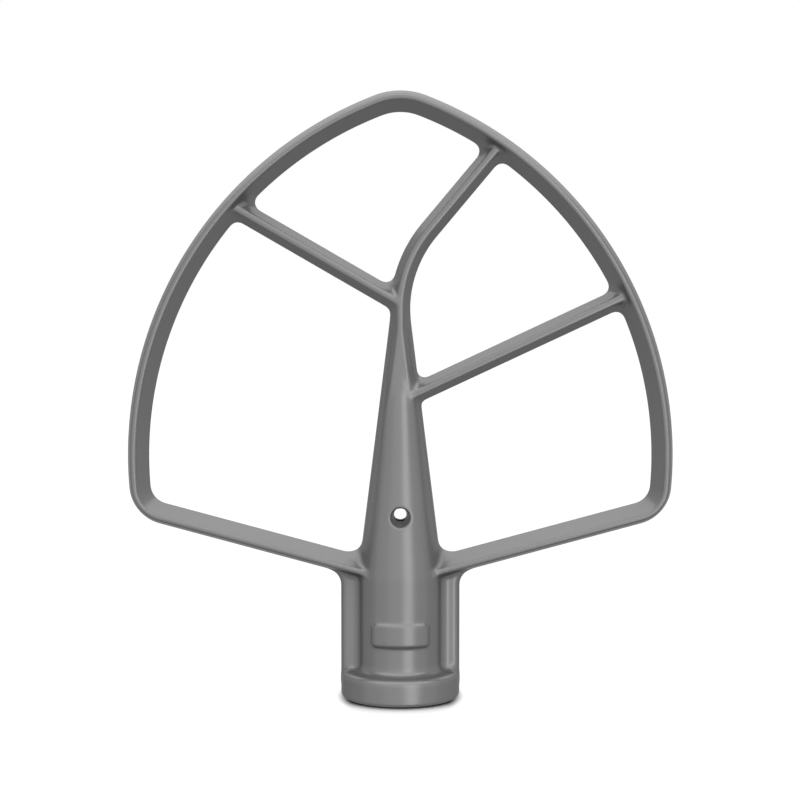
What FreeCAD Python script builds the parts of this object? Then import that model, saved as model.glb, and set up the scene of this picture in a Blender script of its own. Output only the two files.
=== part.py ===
import FreeCAD, Part
import math
import os
from FreeCAD import Vector

# Flat beater of a stand mixer, one casting.
# Millimetres. Z runs up the stem from the hub rim, X to the right, and the front face looks along -Y.
# The casting is drafted both ways from its parting plane, which is Y = 0.

# Rim: two side arcs, a rounded top, and two arms that fall to the hub
rim_half_width = 70.2
rim_widest_height = 61.8
rim_top_height = 155.6
rim_top_radius = 18.6
rim_width = 5.7
rim_half_depth = 6.5
rim_corner_radius = 10.6
arm_slope = 15.1
arm_axis_height = 27.9

# Bars inside the rim
bar_width = 5.4
bar_half_depth = 4.5
top_bar_slope = 50.0
top_bar_axis_height = 111.3
left_bar_slope = 30.0
left_bar_drop = 9.9
right_bar_slope = 25.0
right_bar_drop = 34.8
stem_bend_radius = 31.5

# Draft of the walls, and the corners of the openings
inner_draft = 23.0
outer_draft = 14.0
bar_crown_height = 0.5
bar_crown_lean = 45.0
rim_land_round = 0.6
bar_corner_radius = 2.3
arm_corner_radius = 4.2
column_flare_radius = 18.0

# Column: round at the hub, tapering until it is lost in the stem just below the left bar
column_radius = 10.9
column_taper_start = 31.5
column_tip_radius = 2.2
stem_neck = 4.2

# Hub: collar, two fins and the pad over the locking pocket
collar_radius = 15.3
collar_height = 6.9
collar_top_round = 1.6
collar_rim_round = 0.8
fin_half_depth = 2.2
fin_nose_round = 1.65
fin_corner_radius = 4.0
fin_column_round = 2.4
pad_half_width = 7.3
pad_bottom = 14.4
pad_height = 5.8
pad_radius = 11.7
pad_corner_radius = 0.9

# Socket for the mixer shaft, with a turn-and-lock channel for its pin
shaft_diameter = 12.7
shaft_clearance = 0.2
bore_depth = 38.0
bore_cone_height = 3.0
bore_chamfer = 0.6
pin_diameter = 4.5
pin_clearance = 0.5
pin_reach = 8.0
pin_lead_angle = -20.0
pin_lock_angle = 20.0

# Drain hole across the column, reached by a narrow passage from the bore
drain_height = 47.2
drain_neck_diameter = 3.15
drain_mouth_diameter = 4.9

# Overlap where one form is buried in another
bury = 0.3
through = 1.0

FRONT = Vector(0, -1, 0)
UP = Vector(0, 0, 1)


def point(x, z):
    return Vector(x, 0, z)


def heading(degrees):
    """Unit vector in the parting plane, measured from +X towards +Z."""
    turn = math.radians(degrees)
    return point(math.cos(turn), math.sin(turn))


def left_of(direction):
    return point(-direction.z, direction.x)


class Line:
    """A straight edge of a loop. The loop's inside lies to the left of its heading."""

    def __init__(self, start, direction):
        self.start = start
        self.direction = direction

    def moved_in(self, distance):
        return Line(self.start + left_of(self.direction) * distance, self.direction)

    def nearest(self, place):
        return self.start + self.direction * (place - self.start).dot(self.direction)


class Arc:
    """A round edge of a loop. side is 1 where the loop's inside holds the centre, and -1 where not."""

    def __init__(self, centre, radius, side=1):
        self.centre = centre
        self.radius = radius
        self.side = side

    def moved_in(self, distance):
        return Arc(self.centre, self.radius - self.side * distance, self.side)

    def nearest(self, place):
        away = place - self.centre
        return self.centre + away * (self.radius / away.Length)


def line_circle(line, circle, far):
    """Where a line crosses a circle: the crossing further along the line, or the nearer one."""
    middle = line.nearest(circle.centre)
    half_chord = math.sqrt(circle.radius ** 2 - (middle - circle.centre).Length ** 2)
    return middle + line.direction * (half_chord if far else -half_chord)


def crossing(first, second):
    """Where one edge of a loop gives way to the next one."""
    if isinstance(first, Line) and isinstance(second, Line):
        across = left_of(second.direction)
        reach = (second.start - first.start).dot(across) / first.direction.dot(across)
        return first.start + first.direction * reach
    if isinstance(first, Line):
        return line_circle(first, second, second.side > 0)
    if isinstance(second, Line):
        return line_circle(second, first, first.side < 0)
    between = second.centre - first.centre
    reach = (first.radius ** 2 - second.radius ** 2 + between.Length ** 2) / (2 * between.Length)
    rise = math.sqrt(first.radius ** 2 - reach ** 2)
    along = between / between.Length
    return first.centre + along * reach + left_of(along) * rise


class Corner:
    """Rounding between two edges. turn is 1 for a left turn and -1 for a right turn.

    A radius of zero leaves the corner sharp. A smooth join has no arc of its own."""

    def __init__(self, radius, turn=1, smooth=False):
        self.radius = radius
        self.turn = turn
        self.smooth = smooth


def loop_at(edges, corners, growth, depth):
    """Closed wire through the edges with their corners rounded, all moved out by growth.

    corners[i] lies between edges[i] and the next edge. The wire lies at the given depth in front
    of the parting plane."""
    count = len(edges)
    grown = [edge.moved_in(-growth) for edge in edges]
    ends = []
    for i in range(count):
        following = (i + 1) % count
        corner = corners[i]
        if corner.smooth:
            round_edge, straight = (i, following) if isinstance(edges[i], Arc) else (following, i)
            place = grown[straight].nearest(grown[round_edge].centre)
            ends.append((place, place, None))
        elif corner.radius == 0:
            place = crossing(grown[i], grown[following])
            ends.append((place, place, None))
        else:
            shift = corner.turn * corner.radius
            centre = crossing(edges[i].moved_in(shift), edges[following].moved_in(shift))
            leave = grown[i].nearest(centre)
            arrive = grown[following].nearest(centre)
            radius = corner.radius + corner.turn * growth
            chord_middle = (leave + arrive) * 0.5 - centre
            middle = centre + chord_middle * (radius / chord_middle.Length)
            ends.append((leave, arrive, middle))
    pieces = []
    for i in range(count):
        leave, arrive, middle = ends[i - 1]
        if middle is not None:
            pieces.append(Part.Arc(leave, middle, arrive).toShape())
        start, stop = arrive, ends[i][0]
        edge = grown[i]
        if isinstance(edge, Line):
            pieces.append(Part.makeLine(start, stop))
        else:
            chord_middle = (start + stop) * 0.5 - edge.centre
            top = edge.centre + chord_middle * (edge.radius / chord_middle.Length)
            pieces.append(Part.Arc(start, top, stop).toShape())
    wire = Part.Wire(pieces)
    wire.translate(FRONT * depth)
    return wire


def lean_of(degrees):
    return math.tan(math.radians(degrees))


def leaning(loop, near, far, near_growth, far_growth):
    """Solid between two depths, whose walls follow a loop that grows from one depth to the other."""
    edges, corners = loop
    first = loop_at(edges, corners, near_growth, near)
    last = loop_at(edges, corners, far_growth, far)
    return Part.makeLoft([first, last], True, True)


def drafted(loop, near, far, draft):
    """Solid whose walls lean out by the draft, or in where it is negative."""
    lean = lean_of(draft)
    return leaning(loop, near, far, near * lean, far * lean)


# The members of the plate, as edges that the loops share
top_centre_rise = rim_top_height - rim_top_radius - rim_widest_height
side_reach = rim_half_width ** 2 + top_centre_rise ** 2 - rim_top_radius ** 2
rim_side_radius = side_reach / (2 * (rim_half_width - rim_top_radius))
side_offset = rim_half_width - rim_side_radius
bar_half_width = bar_width / 2
left_bar_axis_height = top_bar_axis_height - left_bar_drop
right_bar_axis_height = top_bar_axis_height - right_bar_drop
column_taper_end = left_bar_axis_height - stem_neck
taper_slope = (column_radius - bar_half_width) / (column_taper_end - column_taper_start)
column_taper = math.degrees(math.atan(taper_slope))
stem_bend_start = top_bar_axis_height - stem_bend_radius * math.tan(math.radians(45 - top_bar_slope / 2))
stem_bend_centre = point(stem_bend_radius, stem_bend_start)


def side_arc(side, inset):
    """Side of the rim, at a distance in from its outer edge. side is 1 on the right, -1 on the left."""
    return Arc(point(side * side_offset, rim_widest_height), rim_side_radius - inset)


def bar_edge(axis_height, degrees, offset):
    """Edge of a straight member that meets the axis at a height and runs at an angle to X.

    It lies offset to the left of the member's middle line."""
    direction = heading(degrees)
    return Line(point(0, axis_height) + left_of(direction) * offset, direction)


def arm_edge(side, inset, outward):
    """Edge of an arm at a distance in from its lower edge. outward is True where it runs from the hub."""
    degrees = side * arm_slope if side > 0 else 180 - arm_slope
    line = bar_edge(arm_axis_height, degrees, side * inset)
    return line if outward else Line(line.start, line.direction * -1)


def taper_edge(side, upward, buried):
    """Side of the column's taper."""
    foot = point(side * (column_radius - buried), column_taper_start)
    direction = heading(90 + side * column_taper)
    return Line(foot, direction if upward else direction * -1)


def stem_edge(side, upward):
    return Line(point(side * bar_half_width, 0), UP if upward else UP * -1)


bar_corner = Corner(bar_corner_radius)
arm_corner = Corner(arm_corner_radius)
rim_top = Corner(rim_top_radius)
rim_foot = Corner(rim_corner_radius)
inner_top = Corner(rim_top_radius - rim_width)
inner_foot = Corner(rim_corner_radius - rim_width)
flare = Corner(column_flare_radius)
sharp = Corner(0)
smooth = Corner(0, smooth=True)

outline = (
    [side_arc(1, 0), side_arc(-1, 0), arm_edge(-1, 0, False), arm_edge(1, 0, True)],
    [rim_top, rim_foot, sharp, rim_foot],
)
inside = (
    [side_arc(1, rim_width), side_arc(-1, rim_width), arm_edge(-1, rim_width, False), arm_edge(1, rim_width, True)],
    [inner_top, inner_foot, sharp, inner_foot],
)
top_opening = (
    [
        bar_edge(left_bar_axis_height, -left_bar_slope, bar_half_width),
        Arc(stem_bend_centre, stem_bend_radius + bar_half_width, -1),
        bar_edge(top_bar_axis_height, top_bar_slope, bar_half_width),
        side_arc(1, rim_width),
        side_arc(-1, rim_width),
    ],
    [bar_corner, smooth, bar_corner, inner_top, bar_corner],
)
right_opening = (
    [
        bar_edge(right_bar_axis_height, right_bar_slope, bar_half_width),
        side_arc(1, rim_width),
        bar_edge(top_bar_axis_height, top_bar_slope + 180, bar_half_width),
        Arc(stem_bend_centre, stem_bend_radius - bar_half_width),
        stem_edge(1, False),
        taper_edge(1, False, bury),
    ],
    [bar_corner, bar_corner, smooth, smooth, flare, bar_corner],
)
lower_right_opening = (
    [
        arm_edge(1, rim_width, True),
        side_arc(1, rim_width),
        bar_edge(right_bar_axis_height, right_bar_slope + 180, bar_half_width),
        taper_edge(1, False, bury),
    ],
    [inner_foot, bar_corner, bar_corner, arm_corner],
)
lower_left_opening = (
    [
        arm_edge(-1, rim_width, False),
        taper_edge(-1, True, bury),
        stem_edge(-1, True),
        bar_edge(left_bar_axis_height, 180 - left_bar_slope, bar_half_width),
        side_arc(-1, rim_width),
    ],
    [arm_corner, flare, bar_corner, bar_corner, inner_foot],
)
openings = [top_opening, right_opening, lower_right_opening, lower_left_opening]


def at_front(solid, depth):
    """Edges of a solid that lie at a depth in front of the parting plane."""
    return [e for e in solid.Edges if all(abs(p.y + depth) < 1e-4 for p in e.discretize(3))]


def make_plate():
    """Rim, arms, bars and stem, built in front of the parting plane and mirrored behind it."""
    crown_start = bar_half_depth - bar_crown_height
    web = drafted(outline, 0, crown_start, -outer_draft)
    crown = leaning(outline, crown_start, bar_half_depth, -rim_width / 2, -rim_width / 2)
    foot_growth = crown_start * lean_of(inner_draft)
    top_growth = foot_growth + bar_crown_height * lean_of(bar_crown_lean)
    for hole in openings:
        web = web.cut(drafted(hole, 0, crown_start, inner_draft))
        crown = crown.cut(leaning(hole, crown_start, bar_half_depth, foot_growth, top_growth))
    rim = drafted(outline, crown_start, rim_half_depth, -outer_draft)
    rim = rim.cut(drafted(inside, crown_start, rim_half_depth, inner_draft))
    rim = rim.makeFillet(rim_land_round, at_front(rim, rim_half_depth))
    front = web.fuse(crown).fuse(rim)
    back = front.mirror(Vector(0, 0, 0), FRONT)
    return front.fuse(back)


def make_column():
    """Round foot of the column and its taper."""
    foot = Part.makeCylinder(column_radius, column_taper_start)
    taper_height = (column_radius - column_tip_radius) / taper_slope
    taper = Part.makeCone(column_radius, column_tip_radius, taper_height, UP * column_taper_start)
    return foot.fuse(taper)


def nose_face(start, stop, height):
    """Level section of a fin from start out to its rounded nose at stop."""
    d, r = fin_half_depth, fin_nose_round
    slant = r * math.sqrt(0.5)
    near, far = stop - r, d - r
    corners = [Vector(start, -d, height), Vector(near, -d, height), Vector(stop, -far, height)]
    corners += [Vector(stop, far, height), Vector(near, d, height), Vector(start, d, height)]
    edges = [
        Part.makeLine(corners[0], corners[1]),
        Part.Arc(corners[1], Vector(near + slant, -far - slant, height), corners[2]).toShape(),
        Part.makeLine(corners[2], corners[3]),
        Part.Arc(corners[3], Vector(near + slant, far + slant, height), corners[4]).toShape(),
        Part.makeLine(corners[4], corners[5]),
        Part.makeLine(corners[5], corners[0]),
    ]
    return Part.Face(Part.Wire(edges))


def make_fin():
    """Fin on the right of the hub. Its nose rises from the collar and curves out below the arm."""
    side = Line(point(collar_radius, 0), UP).moved_in(-fin_corner_radius)
    centre = crossing(side, arm_edge(1, 0, True).moved_in(-fin_corner_radius))
    blade = nose_face(0, collar_radius, collar_height / 2).extrude(UP * (centre.z - collar_height / 2))
    width = collar_radius - rim_width / 2
    bend = nose_face(width, collar_radius, centre.z)
    bend = bend.revolve(centre, FRONT * -1, 90 - arm_slope)
    arm_middle = arm_axis_height + rim_width / 2 + centre.x * lean_of(arm_slope) / 2
    filling = Part.makeBox(width, 2 * fin_half_depth, arm_middle - centre.z, Vector(0, -fin_half_depth, centre.z))
    return blade.fuse(bend).fuse(filling)


def make_fin_roots():
    """Hollow roundings that carry the flat of each fin into the round column."""
    reach = column_radius + fin_column_round
    centre_y = fin_half_depth + fin_column_round
    centre_x = math.sqrt(reach ** 2 - centre_y ** 2)
    top = arm_axis_height + rim_width
    block = Part.makeBox(2 * centre_x, 2 * centre_y, top, Vector(-centre_x, -centre_y, 0))
    for x in (-centre_x, centre_x):
        for y in (-centre_y, centre_y):
            block = block.cut(Part.makeCylinder(fin_column_round, top, Vector(x, y, 0)))
    half_depth = centre_y * column_radius / reach
    keep = Part.makeBox(2 * centre_x, 2 * half_depth, top, Vector(-centre_x, -half_depth, 0))
    return block.common(keep)


def make_collar():
    """Collar with a rounded shoulder and a small rounding at its rim, turned about Z."""
    r, h = collar_radius, collar_height
    a, b = collar_rim_round, collar_top_round
    slant = math.sqrt(0.5)
    edges = [
        Part.makeLine(point(0, 0), point(r - a, 0)),
        Part.Arc(point(r - a, 0), point(r - a + a * slant, a - a * slant), point(r, a)).toShape(),
        Part.makeLine(point(r, a), point(r, h - b)),
        Part.Arc(point(r, h - b), point(r - b + b * slant, h - b + b * slant), point(r - b, h)).toShape(),
        Part.makeLine(point(r - b, h), point(0, h)),
        Part.makeLine(point(0, h), point(0, 0)),
    ]
    return Part.Face(Part.Wire(edges)).revolve(Vector(0, 0, 0), UP, 360)


def make_pad():
    """Raised pad on the front of the hub, over the place where the shaft's pin locks."""
    w = pad_half_width
    block = Part.makeBox(2 * w, pad_radius, pad_height, Vector(-w, -pad_radius, pad_bottom))
    corners = [edge for edge in block.Edges if abs(edge.tangentAt(edge.FirstParameter).y) > 0.99]
    block = block.makeFillet(pad_corner_radius, corners)
    return block.common(Part.makeCylinder(pad_radius, pad_bottom + pad_height))


def radial_slot(angle, bottom, top):
    """Slot from the axis out to the pin's reach. The angle is from the front towards +X."""
    width = pin_diameter + pin_clearance
    slot = Part.makeBox(width, pin_reach, top - bottom, Vector(-width / 2, -pin_reach, bottom))
    slot.rotate(Vector(0, 0, 0), UP, angle)
    return slot


def make_pin_channel():
    """Way in for the pin, and the turn that locks it below the pad."""
    width = pin_diameter + pin_clearance
    top = pad_bottom + pad_height / 2 + width / 2
    lead = radial_slot(pin_lead_angle, -through, top)
    lock = radial_slot(pin_lock_angle, top - width, top)
    sweep = Part.makeCylinder(pin_reach, width, UP * (top - width), UP, pin_lock_angle - pin_lead_angle)
    sweep.rotate(Vector(0, 0, 0), UP, pin_lead_angle - 90)
    inside_reach = Part.makeCylinder(pin_reach, top + through, UP * -through)
    return lead.fuse(lock).common(inside_reach).fuse(sweep)


def make_socket():
    """Everything the mixer shaft fills: bore, conical end, mouth chamfer and pin channel."""
    radius = (shaft_diameter + shaft_clearance) / 2
    bore = Part.makeCylinder(radius, bore_depth + through, UP * -through)
    end = Part.makeCone(radius, drain_neck_diameter / 2, bore_cone_height, UP * bore_depth)
    mouth = Part.makeCone(radius + bore_chamfer, radius, bore_chamfer)
    return bore.fuse(end).fuse(mouth).fuse(make_pin_channel())


def make_drain():
    """Cross hole, narrow in the middle and wide at both faces, with its passage from the bore."""
    neck = drain_neck_diameter / 2
    mouth = drain_mouth_diameter / 2
    surface = column_radius - (drain_height - column_taper_start) * taper_slope
    lean = (mouth - neck) / surface
    length = surface + through
    middle = UP * drain_height
    front = Part.makeCone(neck, neck + lean * length, length, middle, FRONT)
    back = Part.makeCone(neck, neck + lean * length, length, middle, FRONT * -1)
    passage = Part.makeCylinder(neck, drain_height - bore_depth, UP * bore_depth)
    return front.fuse(back).fuse(passage)


def make_beater():
    """The whole casting."""
    fin = make_fin()
    body = make_plate()
    for form in (make_column(), fin, fin.mirror(Vector(0, 0, 0), Vector(1, 0, 0)), make_fin_roots()):
        body = body.fuse(form)
    body = body.fuse(make_collar()).fuse(make_pad())
    return body.cut(make_socket()).cut(make_drain())


os.makedirs("parts", exist_ok=True)
beater = make_beater()
beater.exportStep("parts/beater_casting.step")
box = beater.BoundBox
print("solids", len(beater.Solids), "valid", beater.isValid())
print("size", round(box.XLength, 2), round(box.YLength, 2), round(box.ZLength, 2))
print("volume cm3", round(beater.Volume / 1000, 2))
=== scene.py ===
# %% [markdown]
# # A die-cast flat beater, dressed for its portrait
#
# The construction model gives one solid: the whole beater, exact in size, with the hard edges
# that solids have. The real beater is poured and coated, so nothing on it is sharp. This lesson
# keeps the construction model as it is, grows a soft skin over it, and then finishes, lights and
# frames it.
#
# First the construction model is loaded. Everything is in metres and in its frame: Z up the stem,
# X to the right, and the front looks along -Y.

# %% Load the construction model
import cmath
import math

import bpy
import bmesh
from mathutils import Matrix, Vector


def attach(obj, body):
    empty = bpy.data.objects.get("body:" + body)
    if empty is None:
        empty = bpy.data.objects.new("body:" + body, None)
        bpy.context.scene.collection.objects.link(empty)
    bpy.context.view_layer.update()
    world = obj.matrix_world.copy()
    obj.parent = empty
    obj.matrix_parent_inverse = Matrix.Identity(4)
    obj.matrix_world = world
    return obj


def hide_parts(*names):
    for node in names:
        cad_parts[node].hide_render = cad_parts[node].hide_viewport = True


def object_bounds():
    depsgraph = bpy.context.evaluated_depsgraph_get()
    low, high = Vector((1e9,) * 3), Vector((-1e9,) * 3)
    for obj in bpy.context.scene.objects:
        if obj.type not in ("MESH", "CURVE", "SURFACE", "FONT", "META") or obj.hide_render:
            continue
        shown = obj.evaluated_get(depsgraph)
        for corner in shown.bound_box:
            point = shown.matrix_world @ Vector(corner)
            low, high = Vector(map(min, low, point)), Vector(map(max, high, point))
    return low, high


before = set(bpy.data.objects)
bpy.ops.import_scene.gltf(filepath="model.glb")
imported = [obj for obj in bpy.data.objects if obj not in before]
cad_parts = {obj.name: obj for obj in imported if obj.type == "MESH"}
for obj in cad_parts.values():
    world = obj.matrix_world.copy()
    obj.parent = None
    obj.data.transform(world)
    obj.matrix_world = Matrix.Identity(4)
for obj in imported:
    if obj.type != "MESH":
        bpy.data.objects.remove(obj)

MM = 0.001
HAIR = 0.001 * MM  # two places closer than this are one
SLANT = math.sqrt(0.5)  # sine and cosine of 45 degrees
scene = bpy.context.scene
cad_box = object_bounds()
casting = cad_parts["beater_casting"]
print("casting box in mm", [round(v / MM, 1) for corner in cad_box for v in corner])

# %% [markdown]
# ## Drawing the plate
#
# The rim, its arms and the bars are one plate. Like any casting pattern it starts as a flat
# drawing: an outline, the inner edge of the rim, and four openings with rounded corners. The
# drawing could be traced by hand as curves, but every corner is where two named edges meet, so
# a few lines of geometry place them exactly. A point of the drawing is one complex number,
# x + z*1j, which makes turning and shifting short to write.
#
# These are the sizes of the plate, in millimetres and degrees.

# %% Sizes of the plate
rim_half_width = cad_box[1][0] / MM
rim_top_height = cad_box[1][2] / MM
rim_widest_height = 61.8
rim_top_radius = 18.6
rim_width = 5.7
rim_corner_radius = 10.6
arm_slope = 15.1
arm_height = 27.9
bar_width = 5.4
half_bar = bar_width / 2
bar_half_depth = 4.5
bar_crown = 0.2
top_bar_slope = 50
top_bar_height = 111.3
left_bar_slope = 30
left_bar_drop = 9.9
left_bar_height = top_bar_height - left_bar_drop
right_bar_slope = 25
right_bar_drop = 34.8
right_bar_height = top_bar_height - right_bar_drop
stem_bend_radius = 31.5
stem_neck = 4.2
bar_corner = 2.3
arm_corner = 4.2
column_flare = 18
column_radius = 10.9
taper_start = 31.5
taper_end = left_bar_height - stem_neck
taper_slope = (column_radius - half_bar) / (taper_end - taper_start)
inner_draft = 23
print("rim", round(2 * rim_half_width, 1), "wide,", round(rim_top_height, 1), "high")

# %% [markdown]
# An edge of the drawing is straight or a part of a circle. Both kinds can be moved inwards and
# can tell which of their points is nearest to a place. That is all a rounded corner needs: its
# centre is the point where its two edges would meet if both were moved in by the radius.

# %% Edges of a loop, and where they meet
def heading(degrees):
    return cmath.rect(1, math.radians(degrees))


class Straight:
    """A straight edge. The loop's inside lies to the left of its heading."""

    def __init__(self, start, direction):
        self.start = start
        self.direction = direction

    def moved_in(self, distance):
        return Straight(self.start + 1j * self.direction * distance, self.direction)

    def nearest(self, place):
        along = (place - self.start) * self.direction.conjugate()
        return self.start + self.direction * along.real


class Bow:
    """A round edge. side is 1 where the inside of the loop holds the centre, and else -1."""

    def __init__(self, centre, radius, side=1):
        self.centre = centre
        self.radius = radius
        self.side = side

    def moved_in(self, distance):
        return Bow(self.centre, self.radius - self.side * distance, self.side)

    def nearest(self, place):
        away = place - self.centre
        return self.centre + away * (self.radius / abs(away))


def meeting(first, second):
    """The point where one edge of a loop gives way to the next."""
    if isinstance(first, Straight) and isinstance(second, Straight):
        across = (second.start - first.start) * second.direction.conjugate()
        turn = first.direction * second.direction.conjugate()
        return first.start + first.direction * (across.imag / turn.imag)
    if isinstance(first, Bow) and isinstance(second, Bow):
        between = second.centre - first.centre
        span = abs(between)
        reach = (first.radius ** 2 - second.radius ** 2 + span ** 2) / (2 * span)
        rise = math.sqrt(first.radius ** 2 - reach ** 2)
        return first.centre + between / span * complex(reach, rise)
    if isinstance(first, Straight):
        line, bow, further = first, second, second.side > 0
    else:
        line, bow, further = second, first, first.side < 0
    middle = line.nearest(bow.centre)
    half_chord = math.sqrt(bow.radius ** 2 - abs(middle - bow.centre) ** 2)
    return middle + line.direction * (half_chord if further else -half_chord)


# %% Turn edges and corner radii into a closed loop of points
flatness = 0.001  # how far a flat may lie from its circle


def round_points(centre, radius, start, stop, turn):
    """Points round an arc, from start up to but not including stop."""
    swing = cmath.phase((stop - centre) / (start - centre))
    if swing * turn < 0:
        swing += 2 * math.pi * turn
    steps = max(1, math.ceil(abs(swing) * math.sqrt(radius / (8 * flatness))))
    return [centre + (start - centre) * cmath.rect(1, swing * i / steps) for i in range(steps)]


def closed_loop(edges, radii):
    """radii[i] rounds the corner after edges[i]. Zero keeps it sharp, None is a smooth join."""
    ends = []
    for edge, following, radius in zip(edges, edges[1:] + edges[:1], radii):
        if radius is None:
            bow, line = (edge, following) if isinstance(edge, Bow) else (following, edge)
            place = line.nearest(bow.centre)
            ends.append((place, place, None))
        elif radius == 0:
            place = meeting(edge, following)
            ends.append((place, place, None))
        else:
            centre = meeting(edge.moved_in(radius), following.moved_in(radius))
            ends.append((edge.nearest(centre), following.nearest(centre), centre))
    points = []
    for i, edge in enumerate(edges):
        leave, arrive, centre = ends[i - 1]
        if centre is not None:
            points += round_points(centre, radii[i - 1], leave, arrive, 1)
        if isinstance(edge, Bow):
            points += round_points(edge.centre, edge.radius, arrive, ends[i][0], edge.side)
        else:
            points.append(arrive)
    return points


# %% [markdown]
# Every member gives its two sides: the rim, the arms, the bars, the stem and the tapered column.
# The rim is bowed at the sides, so the centre of that bow is worked out first, and so is the
# centre of the bend where the stem leans over into the top bar.

# %% Sides of the members
top_rise = rim_top_height - rim_top_radius - rim_widest_height
side_span = rim_half_width ** 2 + top_rise ** 2 - rim_top_radius ** 2
side_radius = side_span / (2 * (rim_half_width - rim_top_radius))
bend_start = top_bar_height - stem_bend_radius * math.tan(math.radians(45 - top_bar_slope / 2))
bend_centre = complex(stem_bend_radius, bend_start)
column_cover = 0.3  # the column hides this much of the plate beside it


def side_of_rim(side, inset):
    """side is 1 on the right and -1 on the left."""
    centre = complex(side * (rim_half_width - side_radius), rim_widest_height)
    return Bow(centre, side_radius - inset)


def side_of_bar(height, degrees, offset):
    direction = heading(degrees)
    return Straight(1j * height + 1j * direction * offset, direction)


def side_of_arm(side, inset, outward):
    direction = heading(side * arm_slope)
    start = 1j * arm_height + 1j * direction * inset
    return Straight(start, direction * side * (1 if outward else -1))


def side_of_taper(side, upward):
    foot = complex(side * (column_radius - column_cover), taper_start)
    direction = complex(-side * taper_slope, 1)
    direction /= abs(direction)
    return Straight(foot, direction if upward else -direction)


def side_of_stem(side, upward):
    return Straight(complex(side * half_bar, 0), 1j if upward else -1j)


print("bow of the rim", round(side_radius, 1), "in radius")

# %% [markdown]
# A loop is a list of sides, taken anticlockwise, and a list of corner radii. The outline and the
# inner edge pass the rim and both arms. The four openings lie between the rim, the bars and the
# column: one under the top of the rim, two on the right and one on the left.

# %% List the loops
inner_top = rim_top_radius - rim_width
inner_foot = rim_corner_radius - rim_width


def around_frame(inset):
    return [
        side_of_rim(1, inset),
        side_of_rim(-1, inset),
        side_of_arm(-1, inset, False),
        side_of_arm(1, inset, True),
    ]


outline = (around_frame(0), [rim_top_radius, rim_corner_radius, 0, rim_corner_radius])
inner_edge = (around_frame(rim_width), [inner_top, inner_foot, 0, inner_foot])
top_opening = (
    [
        side_of_bar(left_bar_height, -left_bar_slope, half_bar),
        Bow(bend_centre, stem_bend_radius + half_bar, -1),
        side_of_bar(top_bar_height, top_bar_slope, half_bar),
        side_of_rim(1, rim_width),
        side_of_rim(-1, rim_width),
    ],
    [bar_corner, None, bar_corner, inner_top, bar_corner],
)
right_opening = (
    [
        side_of_bar(right_bar_height, right_bar_slope, half_bar),
        side_of_rim(1, rim_width),
        side_of_bar(top_bar_height, top_bar_slope + 180, half_bar),
        Bow(bend_centre, stem_bend_radius - half_bar),
        side_of_stem(1, False),
        side_of_taper(1, False),
    ],
    [bar_corner, bar_corner, None, None, column_flare, bar_corner],
)
lower_right_opening = (
    [
        side_of_arm(1, rim_width, True),
        side_of_rim(1, rim_width),
        side_of_bar(right_bar_height, right_bar_slope + 180, half_bar),
        side_of_taper(1, False),
    ],
    [inner_foot, bar_corner, bar_corner, arm_corner],
)
lower_left_opening = (
    [
        side_of_arm(-1, rim_width, False),
        side_of_taper(-1, True),
        side_of_stem(-1, True),
        side_of_bar(left_bar_height, 180 - left_bar_slope, half_bar),
        side_of_rim(-1, rim_width),
    ],
    [arm_corner, column_flare, bar_corner, bar_corner, inner_foot],
)
openings = [top_opening, right_opening, lower_right_opening, lower_left_opening]
print("openings", len(openings))

# %% [markdown]
# The walls of the openings lean back, so each opening is wider at the bars' faces than in the
# middle of the plate. Its corners go the other way: round in the middle, where the metal has to
# be strong, and nearly sharp at the face. So the openings are drawn a second time, as they are
# at the bars' faces.

# %% Draw the openings at the face of the bars
crown_foot = bar_half_depth - bar_crown
face_corner = {bar_corner: 0.6, arm_corner: 2.5}  # radius in the middle: radius at the face


def at_face(edges, radii):
    """An opening at the bars' faces. Its sharp corners and smooth joins stay what they are."""
    growth = crown_foot * math.tan(math.radians(inner_draft))
    wider = [edge.moved_in(-growth) for edge in edges]
    return wider, [r and face_corner.get(r, r + growth) for r in radii]


middle_loops = [closed_loop(*opening) for opening in openings]
face_loops = [closed_loop(*at_face(*opening)) for opening in openings]
print("points round the openings", [len(loop) for loop in middle_loops + face_loops])

# %% [markdown]
# The loops become one flat mesh, with a face for each loop. The four kinds of loop lie on top of
# each other like sheets of tracing paper, so each face carries the number of its sheet.

# %% Lay the drawing out as flat faces
loops_of_sheet = {
    "Outline": [closed_loop(*outline)],
    "Inner Edge": [closed_loop(*inner_edge)],
    "Openings": middle_loops,
    "Openings at Face": face_loops,
}
sheets = list(loops_of_sheet)


def flat_drawing():
    """A flat mesh at Y = 0 with one face for each loop."""
    corners, faces, numbers = [], [], []
    for number, loops in enumerate(loops_of_sheet.values()):
        for loop in loops:
            faces.append(list(range(len(corners), len(corners) + len(loop))))
            corners += [(p.real * MM, 0, p.imag * MM) for p in loop]
            numbers.append(number)
    mesh = bpy.data.meshes.new("plate_drawing")
    mesh.from_pydata(corners, [], faces)
    mesh.attributes.new("sheet", "INT", "FACE").data.foreach_set("value", numbers)
    drawing = bpy.data.objects.new("plate_drawing", mesh)
    scene.collection.objects.link(drawing)
    return drawing


drawing = flat_drawing()
print("faces in the drawing", len(drawing.data.polygons))

# %% [markdown]
# ## The form as a formula
#
# Depth comes next. The walls lean a few degrees so that the casting leaves its mould, the rim is
# deeper than the bars, and a round column, two fins, a collar and a pad are added, then a socket
# and a cross hole are taken away. Booleans and bevels could build this, but bevels fail where
# slanted bars run into a cone. A distance formula has no such trouble: at every point of space
# it says how far away the metal's surface is, and it is negative inside. The smaller of two
# distances joins two forms, and the larger one keeps what they share.
#
# Geometry Nodes can work such a formula out. The small class below turns plain arithmetic into
# Math nodes, so that the formula reads as it would on paper.

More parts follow.
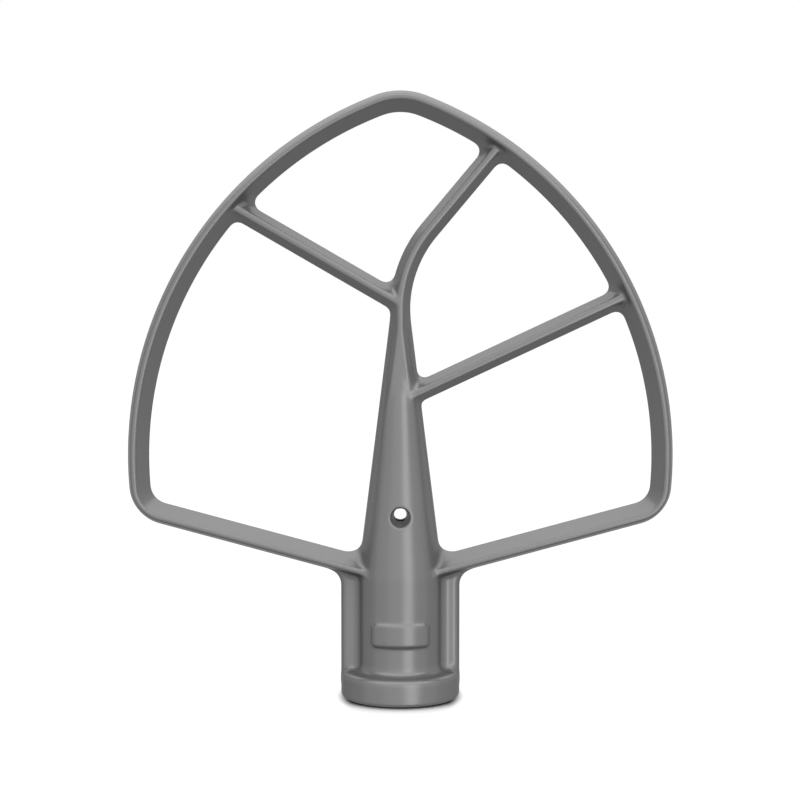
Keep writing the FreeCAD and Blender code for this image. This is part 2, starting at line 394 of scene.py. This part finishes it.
# %% Arithmetic that builds Math nodes
class Number:
    """A number worked out at every point, held as an output socket of a node tree."""

    def __init__(self, tree, socket):
        self.tree = tree
        self.socket = socket

    def step(self, operation, *others):
        node = self.tree.nodes.new("ShaderNodeMath")
        node.operation = operation
        for slot, term in zip(node.inputs, (self,) + others):
            if isinstance(term, Number):
                self.tree.links.new(term.socket, slot)
            else:
                slot.default_value = term
        return Number(self.tree, node.outputs[0])

    def __add__(self, other):
        return self.step("ADD", other)

    def __sub__(self, other):
        return self.step("SUBTRACT", other)

    def __mul__(self, other):
        return self.step("MULTIPLY", other)

    def __truediv__(self, other):
        return self.step("DIVIDE", other)

    def __neg__(self):
        return self.step("MULTIPLY", -1.0)

    def __abs__(self):
        return self.step("ABSOLUTE")


def common(first, *others):
    """What all the forms share."""
    for other in others:
        first = first.step("MAXIMUM", other)
    return first


def joined(first, *others):
    """All the forms together."""
    for other in others:
        first = first.step("MINIMUM", other)
    return first


def length(a, b):
    return (a * a + b * b).step("SQRT")


def common_round(a, b, radius):
    """What two forms share, where the edge between them is rounded."""
    outside = length(common(a + radius, 0.0), common(b + radius, 0.0))
    inside = joined(common(a, b) + radius, 0.0)
    return outside + inside - radius


def joined_round(a, b, radius):
    """Two forms together, where the hollow between them is filled to a radius."""
    return -common_round(-a, -b, radius)


# %% [markdown]
# ## Sizes of the forms
#
# Each size becomes a named input of the tree, so the form can be changed in the modifier panel:
# a deeper rim, a steeper draft or a softer edge needs no new drawing.

# %% Name the sizes
lengths_mm = {
    "Rim Half Depth": 6.5,
    "Rim Width": rim_width,
    "Bar Half Depth": bar_half_depth,
    "Bar Crown": bar_crown,
    "Column Radius": column_radius,
    "Taper Start": taper_start,
    "Taper Tip": 101.2,
    "Collar Radius": cad_box[1][1] / MM,
    "Collar Height": 6.9,
    "Collar Shoulder": 1.9,
    "Collar Foot": 0.8,
    "Collar Hollow": 2.2,
    "Arm Height": arm_height,
    "Fin Half Depth": 2.2,
    "Fin Nose": 1.65,
    "Fin Bend": 4.0,
    "Fin Hollow": 1.8,
    "Pad Radius": 11.7,
    "Pad Half Width": 7.3,
    "Pad Height": 17.3,
    "Pad Half Height": 2.9,
    "Pad Corner": 0.9,
    "Pad Edge": 0.6,
    "Root Hollow": 1.8,
    "Bore Radius": 6.45,
    "Bore Depth": 38.0,
    "Bore Cone": 3.0,
    "Bore Chamfer": 0.6,
    "Pin Reach": 8.0,
    "Pin Half Width": 2.5,
    "Drain Height": 47.2,
    "Drain Neck": 1.575,
    "Drain Mouth": 2.45,
    "Edge Softness": 0.7,
}
angles = {
    "Inner Draft": inner_draft,
    "Outer Draft": 14.0,
    "Arm Slope": arm_slope,
    "Column Taper": math.degrees(math.atan(taper_slope)),
    "Pin Turn": 20.0,
}
sizes = list(lengths_mm) + list(angles)
print("named sizes", len(sizes))


def add_sizes(face):
    for name, value in lengths_mm.items():
        item = face.new_socket(name, in_out="INPUT", socket_type="NodeSocketFloat")
        item.subtype = "DISTANCE"
        item.default_value = value * MM
    for name, value in angles.items():
        item = face.new_socket(name, in_out="INPUT", socket_type="NodeSocketFloat")
        item.subtype = "ANGLE"
        item.default_value = math.radians(value)


def pass_on(tree, giver, taker, names):
    for name in names:
        tree.links.new(giver.outputs[name], taker.inputs[name])


# %% Start a tree, and step with vectors
def new_tree(name, geometries, outputs):
    """A group with geometries, a point and all the sizes as inputs, and outputs by kind."""
    tree = bpy.data.node_groups.new(name, "GeometryNodeTree")
    face = tree.interface
    for item in geometries:
        face.new_socket(item, in_out="INPUT", socket_type="NodeSocketGeometry")
    face.new_socket("Point", in_out="INPUT", socket_type="NodeSocketVector")
    add_sizes(face)
    for item, kind in outputs.items():
        face.new_socket(item, in_out="OUTPUT", socket_type=kind)
    return tree, tree.nodes.new("NodeGroupInput"), tree.nodes.new("NodeGroupOutput")


def vector_step(tree, operation, *terms):
    node = tree.nodes.new("ShaderNodeVectorMath")
    node.operation = operation
    for slot, term in zip(node.inputs, terms):
        if isinstance(term, (Vector, tuple)):
            slot.default_value = term
        else:
            tree.links.new(term, slot)
    return node.outputs["Value" if operation == "LENGTH" else "Vector"]


# %% [markdown]
# Two questions are asked of the drawing. How far is the nearest edge of a loop? The Geometry
# Proximity node tells. Is the point inside the loop? A short ray shot through the flat face
# hits it or misses it, which is a sure answer even where the face is cut into thin slivers.

# %% Ask the drawing
def nearest_edge(tree, sheet, flat):
    node = tree.nodes.new("GeometryNodeProximity")
    node.target_element = "EDGES"
    tree.links.new(sheet, node.inputs[0])
    tree.links.new(flat, node.inputs["Sample Position"])
    return Number(tree, node.outputs["Distance"]), node.outputs["Position"]


def from_drawing(tree, sheet, flat):
    """Distance in the drawing's plane to the edge of a sheet's loops, negative inside them."""
    to_edge, _ = nearest_edge(tree, sheet, flat)
    in_front = 1 * MM
    shot = tree.nodes.new("GeometryNodeRaycast")
    tree.links.new(sheet, shot.inputs["Target Geometry"])
    start = vector_step(tree, "ADD", flat, (0, -in_front, 0))
    tree.links.new(start, shot.inputs["Source Position"])
    shot.inputs["Ray Direction"].default_value = (0, 1, 0)
    shot.inputs["Ray Length"].default_value = 2 * in_front
    inside = Number(tree, shot.outputs["Is Hit"])
    return to_edge * (inside * -2.0 + 1.0)


def sideways_share(tree, sheet, flat, x):
    """How much the shortest way to the edge runs left or right, from 0 to 1."""
    to_edge, place = nearest_edge(tree, sheet, flat)
    split = tree.nodes.new("ShaderNodeSeparateXYZ")
    tree.links.new(place, split.inputs[0])
    return abs(x - Number(tree, split.outputs["X"])) / to_edge.step("MAXIMUM", HAIR)


# %% [markdown]
# The forms below share the same few numbers: the point's place, the sizes, and the sine and
# cosine of each angle. They are worked out once and handed round.

# %% Gather what the forms share
class Setting:
    """The numbers that every form is written in."""

    def __init__(self, tree, start):
        split = tree.nodes.new("ShaderNodeSeparateXYZ")
        tree.links.new(start.outputs["Point"], split.inputs[0])
        self.x, self.y, self.z = [Number(tree, socket) for socket in split.outputs]
        self.depth = abs(self.y)
        self.out = abs(self.x)
        self.around = length(self.x, self.y)
        self.size = {name: Number(tree, start.outputs[name]) for name in sizes}
        self.sine = {name: self.size[name].step("SINE") for name in angles}
        self.cosine = {name: self.size[name].step("COSINE") for name in angles}


# %% Rim and bars
def plate_form(tree, start, at):
    """The plate, and how much the way to the nearest opening's edge runs sideways."""
    flat = tree.nodes.new("ShaderNodeCombineXYZ")
    tree.links.new(at.x.socket, flat.inputs["X"])
    tree.links.new(at.z.socket, flat.inputs["Z"])
    here = flat.outputs[0]
    rim_side, rim_inner, hole, hole_at_face = [
        from_drawing(tree, start.outputs[name], here) for name in sheets
    ]

    def wall(draft, outward):
        return at.depth * at.sine[draft] + outward * at.cosine[draft]

    crown_start = at.size["Bar Half Depth"] - at.size["Bar Crown"]
    hole_here = hole + (hole_at_face - hole) * (at.depth / crown_start)
    walls = hole_here * -at.cosine["Inner Draft"]
    crown = (at.depth - crown_start - hole_at_face) * SLANT
    bars = common(walls, crown, at.depth - at.size["Bar Half Depth"])
    rim = common(wall("Inner Draft", -rim_inner), at.depth - at.size["Rim Half Depth"])
    plate = common(wall("Outer Draft", rim_side), joined(bars, rim))
    return plate, sideways_share(tree, start.outputs["Openings"], here, at.x)


# %% [markdown]
# The column is a cylinder that turns into a cone. Each fin is a thin blade beside it: straight
# above the collar, then bent outwards until it runs along the arm. The collar and the pad are
# rounded blocks, cut from cylinders.

# %% Column and fins
def column_form(at):
    beyond_foot = at.around - at.size["Column Radius"]
    rise = at.z - at.size["Taper Start"]
    taper = beyond_foot * at.cosine["Column Taper"] + rise * at.sine["Column Taper"]
    return common(beyond_foot, taper, at.z - at.size["Taper Tip"])


def fin_form(at):
    slope_sine, slope_cosine = at.sine["Arm Slope"], at.cosine["Arm Slope"]
    bend = at.size["Fin Bend"]
    bend_x = at.size["Collar Radius"] + bend
    bend_z = at.size["Arm Height"] + (bend_x * slope_sine - bend) / slope_cosine
    low = at.z.step("LESS_THAN", bend_z)
    curl = bend - length(at.out - bend_x, at.z - bend_z)
    silhouette = (at.out - at.size["Collar Radius"]) * low + curl * (-low + 1.0)
    blade = common_round(silhouette, at.depth - at.size["Fin Half Depth"], at.size["Fin Nose"])
    bend_end = (at.out - bend_x) * slope_cosine + (at.z - bend_z) * slope_sine
    below_arm = at.out * slope_sine - (at.z - at.size["Arm Height"]) * slope_cosine
    fin_top = -below_arm - at.size["Rim Width"] * 0.5
    fin_foot = at.size["Collar Height"] * 0.5 - at.z
    return common(blade, bend_end, fin_top, fin_foot)


# %% Collar and pad
def collar_form(at):
    side = at.around - at.size["Collar Radius"]
    top = at.z - at.size["Collar Height"]
    return common_round(
        common_round(side, top, at.size["Collar Shoulder"]), -at.z, at.size["Collar Foot"]
    )


def pad_form(at):
    beside = at.out - at.size["Pad Half Width"]
    above = abs(at.z - at.size["Pad Height"]) - at.size["Pad Half Height"]
    face = common_round(beside, above, at.size["Pad Corner"])
    block = common_round(at.around - at.size["Pad Radius"], face, at.size["Pad Edge"])
    return common(block, at.y)


# %% [markdown]
# Where two forms meet, metal fills the hollow between them. The hollow round the collar runs out
# to nothing at the collar's side, so that it never swells past it. The hollow at the roots of
# the arms stays on top of the arms, and fades before it could reach the outside of the fins.

# %% Join the forms
def body_form(tree, start, at):
    plate, sideways = plate_form(tree, start, at)
    hub = joined_round(fin_form(at), column_form(at), at.size["Fin Hollow"])
    to_side = at.size["Collar Radius"] - at.around
    room = (to_side / at.size["Collar Shoulder"]).step("MAXIMUM", 0.0).step("MINIMUM", 1.0)
    hub = joined_round(hub, collar_form(at), at.size["Collar Hollow"] * room)
    hub = joined_round(hub, pad_form(at), at.size["Pad Edge"])
    inward = (at.size["Collar Radius"] - at.out) / at.size["Root Hollow"]
    fade = inward.step("MAXIMUM", 0.0).step("MINIMUM", 1.0)
    return joined_round(hub, plate, at.size["Root Hollow"] * fade * (-sideways + 1.0))


# %% [markdown]
# The socket takes the mixer's shaft: a bore with a cone at its end, a chamfered mouth, and a
# channel for the shaft's pin. The pin enters along one slot, turns, and locks in another one
# behind the pad. A cross hole drains the socket, wide at the column's surface and narrow inside.

# %% Socket and drain
def bore_form(at):
    wall = at.around - at.size["Bore Radius"]
    past_end = at.z - at.size["Bore Depth"]
    end_slope = (at.size["Bore Radius"] - at.size["Drain Neck"]) / at.size["Bore Cone"]
    end_lean = (end_slope * end_slope + 1.0).step("SQRT")
    bore = common(wall, (wall + past_end * end_slope) / end_lean, past_end - at.size["Bore Cone"])
    mouth = (wall - at.size["Bore Chamfer"] + at.z) * SLANT
    return joined(bore, mouth)


def pin_form(at):
    half_pin = at.size["Pin Half Width"]
    turn_sine, turn_cosine = at.sine["Pin Turn"], at.cosine["Pin Turn"]
    slots = []
    for side in (-1.0, 1.0):
        along = at.x * turn_sine * side - at.y * turn_cosine
        beside = at.x * turn_cosine + at.y * turn_sine * side
        slots.append(common(abs(beside) - half_pin, -along))
    lead, lock = slots
    turn = common(at.out * turn_cosine + at.y * turn_sine, at.y)
    pin_top = at.size["Pad Height"] + half_pin
    level = common(joined(lock, turn), pin_top - half_pin * 2.0 - at.z)
    return common(joined(lead, level), at.around - at.size["Pin Reach"], at.z - pin_top)


def drain_form(at):
    neck = at.size["Drain Neck"]
    passage = common(at.around - neck, at.z - at.size["Drain Height"])
    taper_rise = at.size["Drain Height"] - at.size["Taper Start"]
    mouth_depth = at.size["Column Radius"] - taper_rise * at.size["Column Taper"].step("TANGENT")
    spread = (at.size["Drain Mouth"] - neck) / mouth_depth
    cross = length(at.x, at.z - at.size["Drain Height"])
    return joined(passage, cross - neck - at.depth * spread)


# %% Write the whole formula
def casting_form():
    tree, start, end = new_tree("beater_form", sheets, {"Distance": "NodeSocketFloat"})
    at = Setting(tree, start)
    hollow = joined(bore_form(at), pin_form(at), drain_form(at))
    metal = common(body_form(tree, start, at), -hollow, -at.z)
    tree.links.new(metal.socket, end.inputs[0])
    return tree


form = casting_form()
print("nodes in the formula", len(form.nodes))

# %% [markdown]
# ## Softening every edge at once
#
# The formula so far has crisp edges. Averaging it over a small ball rounds them all, outer edges
# and hollows alike, and leaves flat and gently curved faces exactly where they were. Fourteen
# directions round the ball are enough. The same fourteen values also tell which way the surface
# faces, so the skin can be shaded by the formula itself and not by its small facets.

# %% Average the formula over a small ball
def ball_directions():
    across = [Vector(v) for v in ((1, 0, 0), (0, 1, 0), (0, 0, 1))]
    signs = (-1, 1)
    corners = [Vector((a, b, c)).normalized() for a in signs for b in signs for c in signs]
    return across + [-v for v in across] + corners


def softened_form():
    outputs = {"Distance": "NodeSocketFloat", "Normal": "NodeSocketVector"}
    tree, start, end = new_tree("softened_form", sheets, outputs)
    softness = Number(tree, start.outputs["Edge Softness"])
    total, pull = None, None
    for direction in ball_directions():
        sample = tree.nodes.new("GeometryNodeGroup")
        sample.node_tree = form
        pass_on(tree, start, sample, sheets + sizes)
        centre = start.outputs["Point"]
        place = vector_step(tree, "MULTIPLY_ADD", direction, softness.socket, centre)
        tree.links.new(place, sample.inputs["Point"])
        value = Number(tree, sample.outputs[0])
        if total is None:
            total = value
            pull = vector_step(tree, "MULTIPLY", direction, value.socket)
        else:
            total = total + value
            pull = vector_step(tree, "MULTIPLY_ADD", direction, value.socket, pull)
    # The directions share themselves out over three dimensions, so the pull along the steepest
    # one is a third of what it would be if they all pointed that way.
    dimensions, least_steepness = 3.0, 1e-6
    steepness = Number(tree, vector_step(tree, "LENGTH", pull)) * dimensions
    distance = total * softness / steepness.step("MAXIMUM", least_steepness)
    tree.links.new(distance.socket, end.inputs["Distance"])
    tree.links.new(vector_step(tree, "NORMALIZE", pull), end.inputs["Normal"])
    return tree


soft_form = softened_form()
print("directions round the ball", len(ball_directions()))

# %% [markdown]
# ## The skin of the casting
#
# The skin needs points before they can be put in place. A copy of the construction mesh is cut
# into small even cells. The construction mesh is loose triangles, so its copy is welded first.

# %% Copy the casting and cut it into cells
cell_size = 0.4 * MM


def welded_copy(source, name):
    mesh = source.data.copy()
    mesh.name = name
    body = bmesh.new()
    body.from_mesh(mesh)
    bmesh.ops.remove_doubles(body, verts=body.verts, dist=HAIR)
    body.to_mesh(mesh)
    body.free()
    mesh.materials.clear()
    piece = bpy.data.objects.new(name, mesh)
    scene.collection.objects.link(piece)
    return piece


def settle(piece):
    """Makes the piece's modifiers permanent."""
    bpy.context.view_layer.update()
    graph = bpy.context.evaluated_depsgraph_get()
    finished = piece.evaluated_get(graph)
    mesh = bpy.data.meshes.new_from_object(
        finished, preserve_all_data_layers=True, depsgraph=graph
    )
    piece.modifiers.clear()
    piece.data = mesh


skin = welded_copy(casting, "beater_skin")
cells = skin.modifiers.new("cells", "REMESH")
cells.mode = "VOXEL"
cells.voxel_size = cell_size
settle(skin)
print("cells", len(skin.data.polygons))

# %% [markdown]
# One more tree moves the points. At each point it asks the softened formula for the distance to
# the surface and the way there, and takes that step. Then it writes the formula's own direction
# as the normal, hands the mesh on through Realize Instances, and sets the finish.

# %% Sort the drawing's faces by sheet
def sort_sheets(tree, drawing_socket):
    """One geometry for each sheet, picked by the number that its faces carry."""
    nodes, link = tree.nodes, tree.links.new
    plan = nodes.new("GeometryNodeObjectInfo")
    link(drawing_socket, plan.inputs["Object"])
    number = nodes.new("GeometryNodeInputNamedAttribute")
    number.data_type = "INT"
    number.inputs["Name"].default_value = "sheet"
    picked = []
    for i in range(len(sheets)):
        match = nodes.new("FunctionNodeCompare")
        match.data_type = "INT"
        match.operation = "EQUAL"
        link(number.outputs["Attribute"], match.inputs[2])
        match.inputs[3].default_value = i
        pick = nodes.new("GeometryNodeSeparateGeometry")
        pick.domain = "FACE"
        link(plan.outputs["Geometry"], pick.inputs["Geometry"])
        link(match.outputs[0], pick.inputs["Selection"])
        picked.append(pick.outputs["Selection"])
    return picked


# %% Build the tree that puts the skin in place
def placing_tree(steps):
    tree = bpy.data.node_groups.new("place_skin", "GeometryNodeTree")
    face = tree.interface
    face.new_socket("Geometry", in_out="INPUT", socket_type="NodeSocketGeometry")
    face.new_socket("Drawing", in_out="INPUT", socket_type="NodeSocketObject")
    face.new_socket("Finish", in_out="INPUT", socket_type="NodeSocketMaterial")
    add_sizes(face)
    face.new_socket("Geometry", in_out="OUTPUT", socket_type="NodeSocketGeometry")
    nodes, link = tree.nodes, tree.links.new
    start, end = nodes.new("NodeGroupInput"), nodes.new("NodeGroupOutput")
    picked = sort_sheets(tree, start.outputs["Drawing"])

    def formula_here():
        call = nodes.new("GeometryNodeGroup")
        call.node_tree = soft_form
        pass_on(tree, start, call, sizes)
        for name, sheet in zip(sheets, picked):
            link(sheet, call.inputs[name])
        link(nodes.new("GeometryNodeInputPosition").outputs[0], call.inputs["Point"])
        return call

    skin_now = start.outputs["Geometry"]
    for _ in range(steps):
        call = formula_here()
        back = (-Number(tree, call.outputs["Distance"])).socket
        move = nodes.new("GeometryNodeSetPosition")
        link(skin_now, move.inputs["Geometry"])
        link(vector_step(tree, "MULTIPLY", call.outputs["Normal"], back), move.inputs["Offset"])
        skin_now = move.outputs[0]
    shade = nodes.new("GeometryNodeSetMeshNormal")
    shade.mode = "FREE"
    shade.domain = "POINT"
    link(skin_now, shade.inputs["Mesh"])
    link(formula_here().outputs["Normal"], shade.inputs["Custom Normal"])

    realize = nodes.new("GeometryNodeRealizeInstances")
    link(shade.outputs[0], realize.inputs[0])
    finish = nodes.new("GeometryNodeSetMaterial")
    link(realize.outputs[0], finish.inputs["Geometry"])
    link(start.outputs["Finish"], finish.inputs["Material"])
    link(finish.outputs[0], end.inputs[0])
    return tree


def set_input(modifier, name, value):
    """Sets a modifier's input by the identifier of its socket."""
    for item in modifier.node_group.interface.items_tree:
        if item.item_type == "SOCKET" and item.in_out == "INPUT" and item.name == name:
            modifier[item.identifier] = value


# %% [markdown]
# ## The coating
#
# The beater wears a smooth silver-grey coating, fused on so the dough doesn't take the metal's
# colour. It is part paint and part metal flake: partly metallic, satin, with the faint swell that
# a flowed coating keeps. One noise moves its tone and its gloss a little, so that no face looks
# dead flat, and a finer one makes the swell. The gloss stays on the rough side of satin all over,
# because a coating that is now rough and now mirror-like would look blotched.

# %% Make the coating
def make_coating():
    finish = bpy.data.materials.new("silver_grey_coating")
    finish.use_nodes = True
    nodes, link = finish.node_tree.nodes, finish.node_tree.links.new
    shader = nodes["Principled BSDF"]
    shader.inputs["Metallic"].default_value = 0.5
    shader.inputs["IOR"].default_value = 1.3
    shader.inputs["Specular Tint"].default_value = (0.3, 0.3, 0.3, 1)
    where = nodes.new("ShaderNodeTexCoord")

    flow = nodes.new("ShaderNodeTexNoise")
    flow.inputs["Scale"].default_value = 45
    flow.inputs["Detail"].default_value = 3
    link(where.outputs["Object"], flow.inputs["Vector"])
    tone = nodes.new("ShaderNodeMapRange")
    tone.inputs["To Min"].default_value = 0.203
    tone.inputs["To Max"].default_value = 0.223
    link(flow.outputs["Fac"], tone.inputs["Value"])
    colour = nodes.new("ShaderNodeCombineColor")
    for channel in ("Red", "Green", "Blue"):
        link(tone.outputs[0], colour.inputs[channel])
    link(colour.outputs[0], shader.inputs["Base Color"])

    gloss = nodes.new("ShaderNodeMapRange")
    gloss.inputs["To Min"].default_value = 0.278
    gloss.inputs["To Max"].default_value = 0.3
    link(flow.outputs["Fac"], gloss.inputs["Value"])
    link(gloss.outputs[0], shader.inputs["Roughness"])

    swell = nodes.new("ShaderNodeTexNoise")
    swell.inputs["Scale"].default_value = 380
    swell.inputs["Detail"].default_value = 2
    link(where.outputs["Object"], swell.inputs["Vector"])
    bump = nodes.new("ShaderNodeBump")
    bump.inputs["Strength"].default_value = 0.04
    bump.inputs["Distance"].default_value = 0.05 * MM
    link(swell.outputs["Fac"], bump.inputs["Height"])
    link(bump.outputs[0], shader.inputs["Normal"])
    return finish


coating = make_coating()
print("finish", coating.name)

# %% [markdown]
# ## Dressing the casting
#
# The skin is put in place twice. Between the two, flat parts are thinned out, so that most of
# the triangles are left where the form curves. Each time takes two steps, because the formula
# gives a distance that is exact on flat faces and slightly off near corners.

# %% Put the skin in place and dress it
most_triangles = 190000
steps_each_time = 2


def put_in_place():
    place = skin.modifiers.new("place", "NODES")
    place.node_group = placing_tree(steps_each_time)
    set_input(place, "Drawing", drawing)
    set_input(place, "Finish", coating)
    settle(skin)


put_in_place()
triangles_now = 2 * len(skin.data.polygons)
thinner = skin.modifiers.new("thinner", "DECIMATE")
thinner.ratio = min(1, most_triangles / triangles_now)
print("kept", round(thinner.ratio, 2))
settle(skin)
put_in_place()
for polygon in skin.data.polygons:
    polygon.use_smooth = True
bpy.data.objects.remove(drawing)
print("skin faces", len(skin.data.polygons), "custom normals", skin.data.has_custom_normals)

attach(skin, "root")
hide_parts("beater_casting")

# %% [markdown]
# ## Floor
#
# The beater stands on a white table in a white room. The camera sees both at full white. The
# coating mirrors them a little dimmer, as an evenly lit room would be, and for plain lighting
# they are dimmer still. The Light Path node tells these three kinds of ray apart, so the white
# behind the beater never comes from more light on the beater.
#
# The table's glow is dimmed close to the hub as a painted shadow. The Ambient Occlusion node
# measures where little light gets in, and a painted oval round the hub keeps that painted shadow
# shorter at the sides than in front.

# %% Tell seeing from lighting
room_in_mirror = 0.7


def strength_by_ray(nodes, link, mirrored, lighting):
    """Full strength for the camera, less in reflections and through glass, and less as light."""
    path = nodes.new("ShaderNodeLightPath")
    either = nodes.new("ShaderNodeMath")
    either.operation = "MAXIMUM"
    link(path.outputs["Is Glossy Ray"], either.inputs[0])
    link(path.outputs["Is Transmission Ray"], either.inputs[1])
    strength = lighting
    for ray, level in ((either.outputs[0], mirrored), (path.outputs["Is Camera Ray"], 1.0)):
        step = nodes.new("ShaderNodeMath")
        step.operation = "MULTIPLY_ADD"
        link(ray, step.inputs[0])
        step.inputs[1].default_value = level - lighting
        if isinstance(strength, float):
            step.inputs[2].default_value = strength
        else:
            link(strength, step.inputs[2])
        strength = step.outputs[0]
    return strength


# %% Paint the table
# Sizes of the painted shadow: how far the Ambient Occlusion looks, and how far the painted oval
# reaches past the collar at the sides and in front.
shadow_reach = 13.5 * MM
painted_shadow_beside = 1.6 * MM
painted_shadow_before = 9.5 * MM


def occlusion(nodes, link):
    """How open the sky is above the table, from 0 close to the hub to 1 away from it."""
    near = nodes.new("ShaderNodeAmbientOcclusion")
    near.inputs["Distance"].default_value = shadow_reach
    near.samples = 16
    open_sky = nodes.new("ShaderNodeMapRange")
    open_sky.interpolation_type = "SMOOTHSTEP"
    open_sky.inputs["From Min"].default_value = 0.5
    open_sky.inputs["From Max"].default_value = 0.97
    link(near.outputs["AO"], open_sky.inputs["Value"])
    return open_sky.outputs[0]


def beyond_shadow_oval(nodes, link):
    """From 0 inside an oval round the hub, narrow at the sides, to 1 outside it, where the
    painted shadow ends.
    """
    collar = cad_box[1][1]
    where = nodes.new("ShaderNodeTexCoord")
    squash = nodes.new("ShaderNodeVectorMath")
    squash.operation = "DIVIDE"
    squash.inputs[1].default_value = (collar + painted_shadow_beside, collar + painted_shadow_before, 1)
    link(where.outputs["Object"], squash.inputs[0])
    from_axis = nodes.new("ShaderNodeVectorMath")
    from_axis.operation = "LENGTH"
    link(squash.outputs[0], from_axis.inputs[0])
    fade = nodes.new("ShaderNodeMapRange")
    fade.interpolation_type = "SMOOTHSTEP"
    fade.inputs["From Min"].default_value = 0.8
    link(from_axis.outputs["Value"], fade.inputs["Value"])
    return fade.outputs[0]


def make_table_paint():
    paint = bpy.data.materials.new("white_table")
    paint.use_nodes = True
    nodes, link = paint.node_tree.nodes, paint.node_tree.links.new
    shader = nodes["Principled BSDF"]
    shader.inputs["Base Color"].default_value = (0.05, 0.05, 0.05, 1)
    shader.inputs["Roughness"].default_value = 0.9
    shader.inputs["Specular IOR Level"].default_value = 0.0
    shader.inputs["Emission Color"].default_value = (1, 1, 1, 1)
    # Painted shadow: the table's glow is dimmed where the sky is closed off, but only inside the
    # oval round the hub.
    shadow_free = nodes.new("ShaderNodeMath")
    shadow_free.operation = "MAXIMUM"
    link(occlusion(nodes, link), shadow_free.inputs[0])
    link(beyond_shadow_oval(nodes, link), shadow_free.inputs[1])
    glow = nodes.new("ShaderNodeMath")
    glow.operation = "MULTIPLY"
    link(strength_by_ray(nodes, link, mirrored=room_in_mirror, lighting=0.0), glow.inputs[0])
    link(shadow_free.outputs[0], glow.inputs[1])
    link(glow.outputs[0], shader.inputs["Emission Strength"])
    return paint


# %% Lay the floor
def lay_floor(paint):
    half, under = 4.0, -0.05 * MM
    around = ((-half, -half), (half, -half), (half, half), (-half, half))
    corners = [(x, y, under) for x, y in around]
    mesh = bpy.data.meshes.new("floor")
    mesh.from_pydata(corners, [], [(0, 1, 2, 3)])
    mesh.materials.append(paint)
    floor = bpy.data.objects.new("floor", mesh)
    scene.collection.objects.link(floor)
    floor.visible_glossy = False
    floor.visible_shadow = False
    print("floor", 2 * half, "m wide")


lay_floor(make_table_paint())

# %% [markdown]
# ## Light
#
# The coating is satin metal, so the light is mostly what it mirrors. The photograph tells where
# the lamps are: faces that look up are bright, so a broad lamp hangs above. The crowns of the
# bars and the top of the pad carry a bright line, so a smaller lamp hangs right overhead. The
# outer edge of the rim is brightest at the top, and it mirrors what is behind it, so a weak
# lamp hangs high at the back. Faces that look at the camera are a little darker, so a softbox
# stands in front. The round column carries a bright strip right of its middle, so a tall narrow
# lamp stands to the right of the camera, and two weak ones at the sides lighten the fins. All
# other faces mirror the white room.

# %% Hang the lamps
middle = Vector((0, 0, 0.08))


def add_lamp(name, place, width, height, radiance):
    """A flat lamp that faces the beater. A radiance of 1 looks white when mirrored whole."""
    data = bpy.data.lights.new(name, "AREA")
    data.shape = "RECTANGLE"
    data.size = width
    data.size_y = height
    data.energy = radiance * width * height * math.pi
    lamp = bpy.data.objects.new(name, data)
    lamp.location = place
    lamp.rotation_euler = (middle - Vector(place)).to_track_quat("-Z", "Y").to_euler()
    lamp.visible_camera = False
    scene.collection.objects.link(lamp)


def around_beater(degrees, distance, height):
    """A place round the beater, by its angle from the front towards +X."""
    turn = math.radians(degrees)
    return (math.sin(turn) * distance, -math.cos(turn) * distance, height)


eye_level = 0.1
front = around_beater(1, 1.5, eye_level)
right_of_camera = around_beater(22, 1.3, eye_level)
left = around_beater(-55, 1.5, eye_level)
right = around_beater(57, 1.5, eye_level)
above = (0, 0.1, 1.5)
overhead = (0, -0.1, 1.2)
high_behind = (0, 2.4, 1.2)
add_lamp("front_softbox", front, width=2.2, height=2.1, radiance=0.66)
add_lamp("strip_lamp", right_of_camera, width=0.55, height=1.9, radiance=1.4)
add_lamp("left_fill", left, width=1.0, height=1.9, radiance=0.37)
add_lamp("right_fill", right, width=1.0, height=1.9, radiance=0.26)
add_lamp("top_softbox", above, width=3.0, height=4.2, radiance=1.05)
add_lamp("back_softbox", high_behind, width=3.4, height=1.0, radiance=0.5)
add_lamp("overhead_softbox", overhead, width=2.4, height=0.7, radiance=0.5)


# %% Set the room's light
def make_room():
    room = bpy.data.worlds.new("white_room")
    room.use_nodes = True
    nodes, link = room.node_tree.nodes, room.node_tree.links.new
    background = nodes["Background"]
    strength = strength_by_ray(nodes, link, mirrored=room_in_mirror, lighting=0.5)
    link(strength, background.inputs["Strength"])
    background.inputs["Color"].default_value = (1, 1, 1, 1)
    return room


scene.world = make_room()

# %% [markdown]
# ## Camera
#
# The photograph looks at the beater from the front and a little down: the front of the collar's
# rim shows as an ellipse about a fifth as high as it is wide.

# %% Set the camera
camera_place = (-0.00008, -0.44906, 0.10214)
camera_tilt = 3.27
lens = bpy.data.cameras.new("camera")
lens.lens = 78.75
lens.sensor_width = 36
lens.shift_y = 0.0006
camera = bpy.data.objects.new("camera", lens)
camera.location = camera_place
camera.rotation_euler = (math.radians(90 - camera_tilt), 0, 0)
scene.collection.objects.link(camera)
scene.camera = camera
scene.view_settings.view_transform = "Standard"
print("camera", [round(v / MM, 1) for v in camera.location], "mm")
